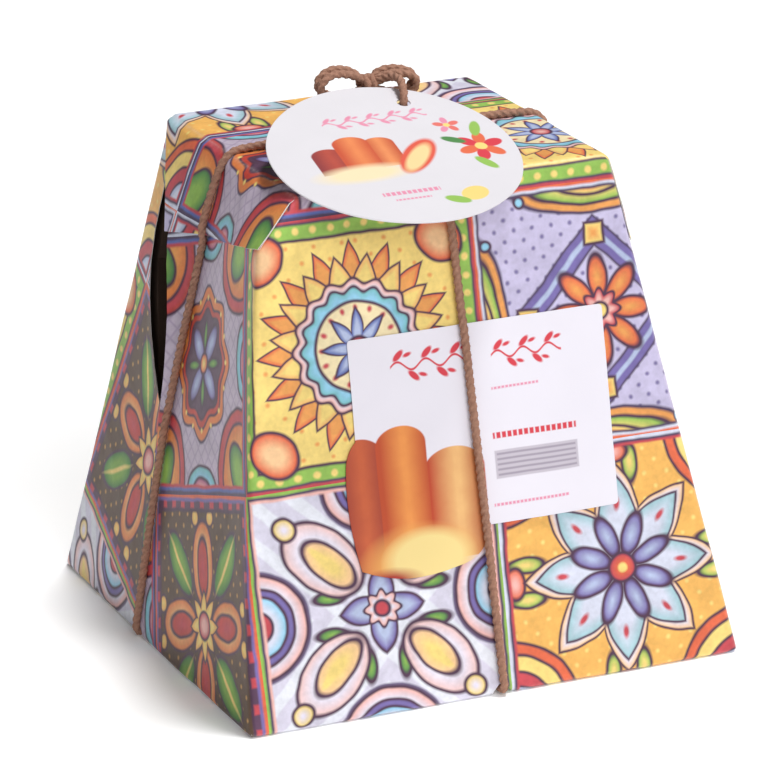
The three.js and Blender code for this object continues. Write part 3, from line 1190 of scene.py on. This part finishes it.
carton = bmesh.new()
bmesh.ops.create_cube(carton, size=1)
for vertex in carton.verts:
    vertex.co = carton_place(vertex.co)
bmesh.ops.recalc_face_normals(carton, faces=carton.faces)
outwards = PLANES["left"][1]
corners = [on_face("left", u, v, -CARTON_INSET) for u, v in POCKET]
middle = sum(corners, Vector()) / len(corners)
lines = [
    (start, (stop - start).cross(outwards))
    for start, stop in zip(corners, corners[1:] + corners[:1])]
for start, normal in lines:
    wall = left_wall()
    around = [*wall, *dict.fromkeys(edge for face in wall for edge in face.edges),
              *dict.fromkeys(corner for face in wall for corner in face.verts)]
    bmesh.ops.bisect_plane(carton, geom=around, dist=1e-6, plane_co=start, plane_no=normal)
carton.normal_update()
floor_faces = [face for face in left_wall() if in_pocket(face.calc_center_median())]
pushed = bmesh.ops.extrude_face_region(carton, geom=floor_faces)
bmesh.ops.delete(carton, geom=floor_faces, context="FACES_ONLY")
sunk = [item for item in pushed["geom"] if isinstance(item, bmesh.types.BMVert)]
bmesh.ops.translate(carton, vec=-outwards * POCKET_DEEP * MM, verts=sunk)
bmesh.ops.recalc_face_normals(carton, faces=carton.faces)

# The board's near-black brown is painted shade: it stands in for the shade deep in the gap, not for
# the board's own colour.
shade_dark_board = plain_finish(
    "carton_board_painted_shade", 0.9, ink(58, 42, 34), ink(84, 64, 52), scale=60.0, detail=4.0, grain=700.0)
add_piece("inner_carton", carton, [shade_dark_board], "printed_paper", smooth=False)
print("the pocket is", POCKET_DEEP, "mm deep")

# %% [markdown]
# ## The label
#
# A white label is stuck on the front, cut out round a pictured cake at its lower left. Its outline
# is laid flat, filled, cut across into small meshes so that it can follow the paper's faint waves,
# and given its thickness.

# %% Outline and label
LABEL_LIFT = 0.45
LABEL_THICK = 0.25
CARD_MESH = 6          # the size of the label's and the tag's meshes
PRINT_UNIT = 100       # millimetres in a unit of the label's and the tag's maps


def arc(start, control, end, steps=8):
    """Points of a curve from start to end that leans towards control, without the start."""
    points = []
    for step in range(1, steps + 1):
        share = step / steps
        low = Vector(start).lerp(Vector(control), share)
        high = Vector(control).lerp(Vector(end), share)
        points.append(low.lerp(high, share))
    return points


LABEL_OUTLINE = [
    Vector((60.6, 161)), *arc((60.6, 161), (62.6, 161), (62.6, 159)),
    Vector((62.6, 76)), *arc((62.6, 76), (62.6, 74), (60.6, 74)),
    Vector((2, 74)), *arc((2, 74), (0, 60), (-14, 58.5)), *arc((-14, 58.5), (-38, 53), (-58, 63)),
    *arc((-58, 63), (-63, 84), (-61, 106)), *arc((-61, 106), (-60.5, 114), (-55.7, 118)),
    Vector((-55.7, 159)), *arc((-55.7, 159), (-55.7, 161), (-53.7, 161)),
]


def filled(loops):
    """A flat bmesh filled between closed lines of points."""
    flat = bmesh.new()
    for loop in loops:
        corners = [flat.verts.new((*point, 0)) for point in loop]
        for start, stop in zip(corners, corners[1:] + corners[:1]):
            flat.edges.new((start, stop))
    bmesh.ops.triangle_fill(flat, use_beauty=True, edges=flat.edges)
    return flat


def cut_across(flat, spacing):
    """Cuts a flat bmesh into small meshes, both ways."""
    lows = [min(vertex.co[axis] for vertex in flat.verts) for axis in (0, 1)]
    highs = [max(vertex.co[axis] for vertex in flat.verts) for axis in (0, 1)]
    for axis, direction in ((0, (0, 1)), (1, (1, 0))):
        for line in range(1, int((highs[axis] - lows[axis]) / spacing) + 1):
            point = [0, 0]
            point[axis] = lows[axis] + line * spacing
            score(flat, point, direction)


def flat_card(loops):
    """A filled outline cut into small meshes, with a map in print units."""
    flat = filled(loops)
    cut_across(flat, CARD_MESH)
    uv = flat.loops.layers.uv.new("print")
    for face in flat.faces:
        for loop in face.loops:
            loop[uv].uv = loop.vert.co.xy / PRINT_UNIT
    return flat


def turn_faces(mesh, direction):
    """Turns the faces of a sheet so that they look in a direction."""
    bmesh.ops.recalc_face_normals(mesh, faces=mesh.faces)
    if sum(face.normal.dot(direction) for face in mesh.faces) < 0:
        bmesh.ops.reverse_faces(mesh, faces=mesh.faces)


label = flat_card([LABEL_OUTLINE])
for vertex in label.verts:
    u, v = vertex.co.xy
    wave = 0.12 * noise.noise(Vector((u, v, 0)) / 26)
    vertex.co = rumpled(on_face("front", u, v, LABEL_LIFT + wave))
turn_faces(label, PLANES["front"][1])
print("label:", len(label.faces), "faces")

# %% [markdown]
# ## The label's print
#
# The pictured cake is a fluted pandoro: a tall body with rounded ribs, dark on the left and golden
# on the right, with pale crumb at its foot. The rest of the label holds only ornament: two leaf
# garlands, fine dotted rules and a hatched panel.

# %% Printing tools for label and tag
# The leaves of a garland, above and below its stem: where in a wave, which side, tilt and length.
GARLAND_LEAVES = ((0.3, 1, 0.75, 0.24), (0.8, -1, -0.75, 0.24), (0.62, 1, 0.3, 0.15),
                  (0.12, -1, -0.3, 0.15))


class Card(Finish):
    """A printed card. Its x and y are in millimetres."""

    def __init__(self, name, ground):
        super().__init__(name, Roughness=0.38, **{"Specular IOR Level": 0.45})
        self.x, self.y = (part * PRINT_UNIT for part in self.parts(self.print_place()))
        self.colour = ground

    def oval(self, at, size, tilt=0.0):
        """The distance in millimetres to an oval, which may be tilted."""
        x, y = self.x - at[0], self.y - at[1]
        across = x * math.cos(tilt) + y * math.sin(tilt)
        up = y * math.cos(tilt) - x * math.sin(tilt)
        return (self.length(across * (1 / size[0]), up * (1 / size[1])) - 1) * min(size)

    def block(self, left, right, low, high):
        """The distance to a rectangle."""
        across = abs(self.x - (left + right) / 2) - (right - left) / 2
        return across.larger(abs(self.y - (low + high) / 2) - (high - low) / 2)

    def paint(self, distance, colour, soft=0.25):
        self.colour = self.mix(self.inside(distance, soft), self.colour, colour)

    def ovals(self, *rows):
        """Painted ovals, each given by its place, size, tilt, colour and softness."""
        for at, size, tilt, colour, *soft in rows:
            self.paint(self.oval(at, size, tilt), colour, *soft)

    def rule(self, left, right, y, colour, high, dash):
        """A dotted rule."""
        dots = (self.x - left).folded(dash / 2) - dash * 0.36
        self.paint(self.block(left, right, y - high, y + high).larger(dots), colour)

    def rib(self, left, right, low, top, dark, light):
        """One rounded rib of the pictured cake, dark at its sides and bright in its middle."""
        middle = (left + right) / 2
        half = (right - left) / 2
        cap = self.oval((middle, top - half * 0.7), (half, half * 0.7))
        shaft = self.block(left, right, low, top - half * 0.7)
        edge_on = abs(self.x - middle - half * 0.1) * (1 / half)
        streak = self.mix(self.noise(140.0) * 0.35, light, dark)
        self.paint(cap.smaller(shaft), self.mix(self.inside(edge_on - 0.5, 0.42), dark, streak))

    def garland(self, left, right, y, swing, wave, colour):
        """A running stem with a leaf above and below each of its turns."""
        along = (self.x - left) * (2 * math.pi / wave)
        stem = abs(self.y - (along.math("SINE") * swing * 0.4 + y)) - 0.5
        shape = stem.larger(self.block(left, right, y - swing, y + swing))
        for phase, side, tilt, share in GARLAND_LEAVES:
            place = ((self.x - left) * (1 / wave) - phase + 0.5).math("FRACT")
            across, up = (place - 0.5) * wave, self.y - (y + side * swing * 0.95)
            length = across * math.cos(tilt) + up * math.sin(tilt)
            width = up * math.cos(tilt) - across * math.sin(tilt)
            reach = wave * share
            leaf = (self.length(length * (1 / reach), width * (2.3 / reach)) - 1) * reach * 0.4
            # A leaf that would stick out past the block is left off as a whole.
            beyond = abs(self.x - across - (left + right) / 2) - (right - left) / 2 + reach * 0.85
            shape = shape.smaller(leaf.larger(beyond * 20))
        self.paint(shape, colour)

    def finish(self):
        tone = self.ranged(self.noise(30.0, 2.0), To_Min=0.95, To_Max=1.02)
        self.feed(Base_Color=self.mix(1.0, self.colour, tone, "MULTIPLY"))
        self.feed(Roughness=self.noise(120.0) * 0.12 + 0.34)
        self.feed(Normal=self.bump(self.noise(1200.0, 3.0), 0.2, GRAIN_DEEP))
        return self.material


# %% The label's finish
WHITE_CARD = ink(242, 238, 248)
SCARLET = ink(222, 64, 78)
ROSE = ink(236, 150, 178)

label_card = Card("label_print", WHITE_CARD)
label_card.rib(-66, -44, 50, 119, ink(158, 54, 44), ink(214, 104, 60))
label_card.rib(-26, 2, 62, 110, ink(196, 72, 40), ink(252, 204, 134))
label_card.rib(-47, -24, 48, 122, ink(196, 78, 40), ink(252, 164, 84))
label_card.ovals(
    ((-31, 62), (24, 15), 0.0, ink(240, 170, 92), 4),
    ((-27, 64), (19, 12), 0.0, ink(250, 224, 150), 2.5),
    ((-47, 56), (13, 5), 0.0, ink(176, 60, 48), 2))
label_card.garland(-37, 0, 147, 4.8, 13, SCARLET)
label_card.garland(9, 42, 146, 4.2, 12, SCARLET)
label_card.rule(8, 30, 132, ROSE, high=0.5, dash=1.8)
label_card.rule(7, 46, 111.5, SCARLET, high=1.3, dash=2.6)
label_card.paint(label_card.block(7, 46, 93, 105), ink(206, 198, 210))
hatching = label_card.y.folded(1.1) - 0.45
label_card.paint(label_card.block(8, 45, 94, 104).larger(hatching), ink(170, 160, 176))
label_card.rule(5, 40, 82, ROSE, high=0.6, dash=1.8)
label_piece = add_piece("front_label", label, [label_card.finish()], "label_paper", "label")
thicken(label_piece, LABEL_THICK, 1)

# %% [markdown]
# ## The tag
#
# The tag is a disc of stiff white card with a punched hole near its back rim. It rests on the front
# edge of the box, over the twine, and bends a little under its own weight.

# %% The tag
TAG_CENTRE = Vector((-20, -56.5, 227.6))
TAG_TILT = math.radians(16.5)
TAG_RADIUS = 54.5
TAG_THICK = 0.7
TAG_HOLE = Vector((20, 38.1))
TAG_HOLE_RADIUS = 3
TAG_SAG = 0.9
TAG_WAVE = 0.25
TAG_BEVEL = 0.15


def circle(centre, radius, count):
    angles = [2 * math.pi * step / count for step in range(count)]
    return [Vector(centre) + radius * Vector((math.cos(a), math.sin(a))) for a in angles]


tag = flat_card([circle((0, 0), TAG_RADIUS, 128), circle(TAG_HOLE, TAG_HOLE_RADIUS, 32)])
tilt = Matrix.Rotation(TAG_TILT, 3, "X")
for vertex in tag.verts:
    x, y = vertex.co.xy
    sag = -TAG_SAG * (x / TAG_RADIUS) ** 2 + TAG_WAVE * noise.noise(Vector((x, y, 9)) / 30)
    vertex.co = (tilt @ Vector((x, y, sag)) + TAG_CENTRE) * MM
turn_faces(tag, Vector((0, 0, 1)))

tag_card = Card("tag_print", ink(230, 227, 232))
tag_piece = add_piece("round_tag", tag, [tag_card.material], "tag_card", "tag")
thicken(tag_piece, TAG_THICK, 0)
tag_rim = tag_piece.modifiers.new("rim", "BEVEL")
tag_rim.width = TAG_BEVEL * MM
tag_rim.segments = 2
tag_rim.angle_limit = math.radians(50)

# %% The tag's print
def paint_flower(card, at, petals, reach, colours):
    """A round flower with separate petals."""
    for turn in range(petals):
        angle = 2 * math.pi * turn / petals + 0.3
        place = (at[0] + reach * math.cos(angle), at[1] + reach * math.sin(angle))
        card.ovals((place, (reach * 0.72, reach * 0.44), angle, colours[turn % 2]))
    card.ovals((at, (reach * 0.42, reach * 0.42), 0.0, YELLOW))


tag_card.garland(-22, 26, 28, 3.2, 10, ROSE)
tag_card.rib(-36, -21, -10, 10, ink(150, 60, 60), ink(196, 84, 66))
tag_card.rib(-11, 3, -9, 14, ink(200, 84, 52), ink(248, 156, 98))
tag_card.rib(-24, -8, -10, 17, ink(208, 88, 56), ink(246, 148, 90))
tag_card.ovals(
    ((-19, -12), (19, 6), 0.0, ink(250, 232, 190), 2),
    ((9, -4), (6.5, 15), -0.7, ink(232, 96, 74), 0.6),
    ((8.4, -5.2), (4, 12), -0.7, ink(250, 222, 160), 0.8))
tag_card.rule(-18, 8, -30, ROSE, high=1.3, dash=2.4)
tag_card.rule(-14, 2, -35, ROSE, high=0.6, dash=1.8)
paint_flower(tag_card, (39, -2), 6, 6.5, (SCARLET, RED_ORANGE))
paint_flower(tag_card, (31, 17), 5, 3.6, (ink(236, 120, 110), ROSE))
tag_card.ovals(
    ((42, 12), (6, 2.4), 1.2, LEAF_GREEN),
    ((29, 5), (5.4, 2.2), -0.5, DEEP_GREEN),
    ((36, -15), (6, 2.4), -1.0, LEAF_GREEN),
    ((21, -37), (6.5, 5), 0.4, YELLOW),
    ((12, -40), (5.6, 2.6), -0.5, LEAF_GREEN))
tag_card.finish()

# %% [markdown]
# ## Twine
#
# The twine is three strands laid round each other. A curve with a three-lobed profile, tilted a
# little more at each point, makes that rope in one go. Its route is the frame's: up the face, over
# each layer that lies there, round the top edge to the knot.

# %% Twine tools
TWINE_RADIUS = 1.95
TWINE_STEP = 1.3
TWIST = 2 * math.pi / 11       # a full turn of the lay in 11 mm
LOBES = 3
PROFILE_POINTS = 15
CLEARANCE = 0.1                # between the twine and what it lies on


def poly_curve(name, places, dimensions, closed=False):
    """A curve of straight lines through places in metres, as an object in the scene."""
    data = bpy.data.curves.new(name, "CURVE")
    data.dimensions = dimensions
    spline = data.splines.new("POLY")
    spline.points.add(len(places) - 1)
    for point, place in zip(spline.points, places):
        point.co = (*place, 1)
    spline.use_cyclic_u = closed
    return new_object(name, data)


def lobed_profile():
    """A closed three-lobed outline for a curve's bevel."""
    places = []
    for index in range(PROFILE_POINTS):
        angle = 2 * math.pi * index / PROFILE_POINTS
        reach = TWINE_RADIUS * (0.9 + 0.13 * math.cos(LOBES * angle)) * MM
        places.append((reach * math.cos(angle), reach * math.sin(angle), 0))
    return poly_curve("profile", places, "2D", closed=True)


def evened(points):
    """Points at even steps along a line through the given ones."""
    even = [points[0].copy()]
    spare = 0.0
    for start, stop in zip(points, points[1:]):
        length = (stop - start).length
        at = TWINE_STEP - spare
        while at <= length:
            even.append(start.lerp(stop, at / length))
            at += TWINE_STEP
        spare = length - (at - TWINE_STEP)
    return even


def eased(points, passes):
    """The same line with its corners rounded, ends kept."""
    for _ in range(passes):
        inner = [a * 0.25 + b * 0.5 + c * 0.25 for a, b, c in zip(points, points[1:], points[2:])]
        points = [points[0], *inner, points[-1]]
    return points


def smooth_line(points, steps=14):
    """A smooth line through given points."""
    line = []
    for index in range(len(points) - 1):
        before = points[max(index - 1, 0)]
        start, stop = points[index], points[index + 1]
        after = points[min(index + 2, len(points) - 1)]
        for step in range(steps):
            t = step / steps
            line.append(0.5 * (
                2 * start + (stop - before) * t
                + (2 * before - 5 * start + 4 * stop - after) * t**2
                + (3 * start - before - 3 * stop + after) * t**3))
    line.append(points[-1])
    return line


def rope(points):
    """A bmesh of twisted twine along points in millimetres."""
    profile = lobed_profile()
    made = poly_curve("rope", [place * MM for place in evened(points)], "3D")
    data = made.data
    data.bevel_mode = "OBJECT"
    data.bevel_object = profile
    data.use_fill_caps = True
    data.twist_mode = "MINIMUM"
    for index, point in enumerate(data.splines[0].points):
        point.tilt = index * TWINE_STEP * TWIST
    bpy.context.view_layer.update()
    solid = made.evaluated_get(bpy.context.evaluated_depsgraph_get())
    shape = bpy.data.meshes.new_from_object(solid)
    mesh = bmesh.new()
    mesh.from_mesh(shape)
    bmesh.ops.remove_doubles(mesh, verts=mesh.verts, dist=1e-6)
    for leftover in (made, profile):
        bpy.data.objects.remove(leftover)
    bpy.data.meshes.remove(shape)
    return mesh


# %% The four runs
UNDER_Z = CHANNEL_DEEP - TWINE_RADIUS - CLEARANCE
LABEL_SPAN = (56, 163)
TWINE_BITE = 0.8       # how deep the twine bites into the top edges
BITE_REACH = 8         # how far below a top edge it begins to
TOP_CUT = 2.4          # how far from the top edges it leaves the faces' planes
RUN_STEPS = 55


def surface(side, u, v):
    """How far the paper or the label stands out under the twine."""
    if side == "front":
        return LABEL_LIFT + LABEL_THICK if LABEL_SPAN[0] < v < LABEL_SPAN[1] else 0
    if side == "left":
        return LEFT.outermost(u, v)
    if side == "right":
        return RIGHT.outermost(-u, v)
    return 0


def run(side):
    """The twine's route from the middle of the base up a face to the middle of the top."""
    rise = TWINE_RADIUS + CLEARANCE
    foot = on_face(side, FOOT[side], 1, rise) / MM
    points = [Vector((0, 0, UNDER_Z)), Vector((foot.x, foot.y, UNDER_Z))]
    for step in range(1, RUN_STEPS + 1):
        v = (SLANT - TOP_CUT) * step / RUN_STEPS
        u = FOOT[side] + (HEAD[side] - FOOT[side]) * v / SLANT
        bite = TWINE_BITE * math.exp(-(((SLANT - v) / BITE_REACH) ** 2))
        points.append(on_face(side, u, v, surface(side, u, v) + rise - bite) / MM)
    over = on_face(side, HEAD[side], SLANT, -TOP_CUT) / MM
    near_middle = over * 0.8
    points += [
        Vector((over.x, over.y, HEIGHT + rise - TWINE_BITE)),
        Vector((near_middle.x, near_middle.y, HEIGHT + rise)), Vector((0, 0, HEIGHT + rise))]
    return eased(evened(points), passes=4)


runs = [rope(run(side)) for side in TURN]
print("twine runs:", sum(len(mesh.faces) for mesh in runs), "faces")

# %% [markdown]
# ## The bow
#
# The knot holds the crossing, a neck rises from it, and the bow's loops are of doubled twine. One
# tail hangs behind; the other goes over the tag's rim, down through its hole and back to the knot.

# %% The bow
BOW = Vector((-6, 4, 241))
LOOPS = [
    [(-14, 3.5, 247.5), (-24, 2, 249.4), (-30, 1.5, 245), (-27, 2, 239), (-17, 3, 237.5)],
    [(-1, 4, 245.6), (7, 3, 246.6), (14.5, 2, 243.4), (13, 3, 237.6), (4, 4, 236.4)],
]
LEFT_TAIL = [(-14, 4, 238), (-22, 7, 232), (-27, 9, 224.5)]
TAG_TAIL = [
    (0, -2, 245.5), (2.5, -10, 246.5), (1, -18, 243), (0, -20, 238.4), (1, -17, 233.5),
    (1, -8, 230), (0, 0, 226),
]
STRAND_SHIFT = Vector((0, 1.7, 0.595))     # from a loop's middle to one of its two strands
WRAP_PITCH = 3.0
WRAP_STEPS = 24        # points in one turn
X, Y, Z = Vector((1, 0, 0)), Vector((0, 1, 0)), Vector((0, 0, 1))


def through(places, shift=Vector()):
    return [BOW, *(Vector(place) + shift for place in places)]


def wrap(centre, across, up, turns, axes):
    """A few close turns of twine. axes are two across them and the one they go along."""
    side, other, along = axes
    points = []
    steps = int(turns * WRAP_STEPS)
    for step in range(steps + 1):
        angle = 2 * math.pi * step / WRAP_STEPS
        shift = (step / steps - 0.5) * turns * WRAP_PITCH
        points.append(
            centre + side * across * math.cos(angle) + other * up * math.sin(angle)
            + along * shift)
    return points


bow_lines = [
    smooth_line([*through(loop, STRAND_SHIFT * sign), BOW]) for loop in LOOPS for sign in (-1, 1)]
bow_lines += [smooth_line(through(tail)) for tail in (LEFT_TAIL, TAG_TAIL)]
knot = wrap(Vector((0, 0, 225.4)), across=4.6, up=4.2, turns=2.5, axes=(X, Y, Z))
neck = wrap(Vector((-2.6, 1.6, 232.5)), across=2.2, up=2.0, turns=3.0, axes=(X, Y, Z))
bow_knot = wrap(BOW, across=3.4, up=4.0, turns=2.0, axes=(Y, Z, X))
bow_ropes = [rope(line) for line in (*bow_lines, knot, neck, bow_knot)]

fibre = Finish("twine_fibre", Roughness=0.85)
strands = fibre.noise(700.0, 4.0)
patches = fibre.noise(90.0, 2.0)
brown = fibre.mix(strands, ink(116, 76, 62), ink(208, 162, 138))
fibre.feed(Base_Color=fibre.mix(patches * 0.6, brown, ink(174, 124, 100)))
fibre.feed(Normal=fibre.bump(strands + fibre.noise(2400.0, 2.0) * 0.5, 0.8, 0.0006))
twine = joined([*runs, *bow_ropes], weld=0)
add_piece("twine_and_bow", twine, [fibre.material], "twine_fibre", "twine")
print("bow:", len(bow_ropes), "ropes")

# %% [markdown]
# ## Floor, light and camera
#
# The photograph was taken on a white sweep. One light is high up on the right, so the shadow is a
# narrow band along the left of the base. A broad light fills the front, and the lens is a long one,
# a little above the pack.

# %% Floor and light
FLOOR_SIZE = 6         # half the floor's width, in metres
WHITE = (1, 1, 1, 1)
GLOW = 0.12            # the strength of the sky's light, and of the floor's own

sweep = bmesh.new()
bmesh.ops.create_grid(sweep, x_segments=1, y_segments=1, size=FLOOR_SIZE)
floor_data = bpy.data.meshes.new("floor")
sweep.to_mesh(floor_data)
sweep.free()
floor = new_object("floor", floor_data)
floor_paint = Finish("floor_paint", Roughness=0.95, **{
    "Base Color": (0.95, 0.95, 0.95, 1), "Specular IOR Level": 0.0,
    "Emission Color": WHITE, "Emission Strength": GLOW})
floor_data.materials.append(floor_paint.material)

scene = bpy.context.scene
world = bpy.data.worlds.new("studio")
scene.world = world
world.use_nodes = True
sky = world.node_tree.nodes["Background"].inputs
sky["Color"].default_value = WHITE
sky["Strength"].default_value = GLOW
scene.view_settings.view_transform = "Standard"


def direction(azimuth, rise):
    """A direction in space. The azimuth counts from the front towards the right."""
    return Vector((
        math.sin(azimuth) * math.cos(rise), -math.cos(azimuth) * math.cos(rise), math.sin(rise)))


def add_light(name, azimuth, rise, size, strength):
    """A far, soft lamp. The angles are in degrees."""
    lamp = bpy.data.lights.new(name, "SUN")
    lamp.energy = strength
    lamp.angle = math.radians(size)
    carrier = new_object(name, lamp)
    towards = direction(math.radians(azimuth), math.radians(rise))
    carrier.rotation_euler = (-towards).to_track_quat("-Z", "Y").to_euler()


add_light("overhead", azimuth=90, rise=76, size=10, strength=2.25)
add_light("front", azimuth=8, rise=36, size=40, strength=1.42)

# %% The camera
CAMERA_AZIMUTH = math.radians(-23.1)
CAMERA_RISE = math.radians(18.5)
CAMERA_ROLL = math.radians(-0.88)
CAMERA_AWAY = 2.088
CAMERA_LENS = 218.6
CAMERA_AIM = Vector((0, 0, 0.1096))
CAMERA_SHIFT = (0.0008, -0.0195)

backwards = direction(CAMERA_AZIMUTH, CAMERA_RISE)
camera_data = bpy.data.cameras.new("camera")
camera_data.lens = CAMERA_LENS
camera_data.shift_x, camera_data.shift_y = CAMERA_SHIFT
camera = new_object("camera", camera_data)
camera.location = CAMERA_AIM + backwards * CAMERA_AWAY
look = (-backwards).to_track_quat("-Z", "Y").to_matrix() @ Matrix.Rotation(CAMERA_ROLL, 3, "Z")
camera.rotation_euler = look.to_euler()
scene.camera = camera
